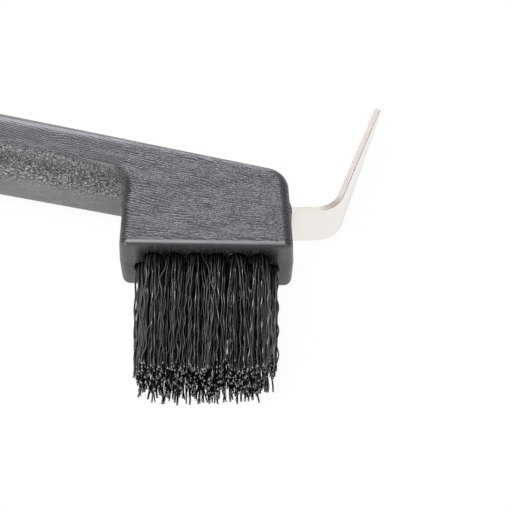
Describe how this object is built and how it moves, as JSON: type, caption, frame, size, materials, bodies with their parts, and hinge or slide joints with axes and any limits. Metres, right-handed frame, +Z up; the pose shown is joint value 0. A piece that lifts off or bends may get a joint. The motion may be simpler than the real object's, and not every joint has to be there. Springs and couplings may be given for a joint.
{
  "type": "hoof pick with brush",
  "caption": "Hand tool for cleaning hooves: a grooved moulded handle with a brush head, black crimped bristle tufts below and a bent steel pick at the end.",
  "frame": {"origin": "point in the middle of the flat back of the brush head, on the surface that the tool lies on", "axes": "+X along the brush bed towards the pick, +Y from the bristle tips towards the handle's top edge, +Z up, out of the head's front"},
  "size_m": [0.1695, 0.0929, 0.0195],
  "materials": {
    "moulding": "dark grey moulded plastic with a fine wood-grain texture",
    "blade": "bright plated steel strip",
    "bristle": "black crimped synthetic filament",
    "anchor": "plain flat wire"
  },
  "bodies": {
    "root": {"handle_body": "moulding", "pick_blade": "blade", "bristle_row_1": "bristle", "bristle_row_2": "bristle", "bristle_row_3": "bristle", "tuft_anchor_1_1": "anchor", "tuft_anchor_1_2": "anchor", "tuft_anchor_1_3": "anchor", "tuft_anchor_1_4": "anchor", "tuft_anchor_1_5": "anchor", "tuft_anchor_1_6": "anchor", "tuft_anchor_2_1": "anchor", "tuft_anchor_2_2": "anchor", "tuft_anchor_2_3": "anchor", "tuft_anchor_2_4": "anchor", "tuft_anchor_2_5": "anchor", "tuft_anchor_2_6": "anchor", "tuft_anchor_2_7": "anchor", "tuft_anchor_3_1": "anchor", "tuft_anchor_3_2": "anchor", "tuft_anchor_3_3": "anchor", "tuft_anchor_3_4": "anchor", "tuft_anchor_3_5": "anchor", "tuft_anchor_3_6": "anchor"}
  },
  "joints": []
}
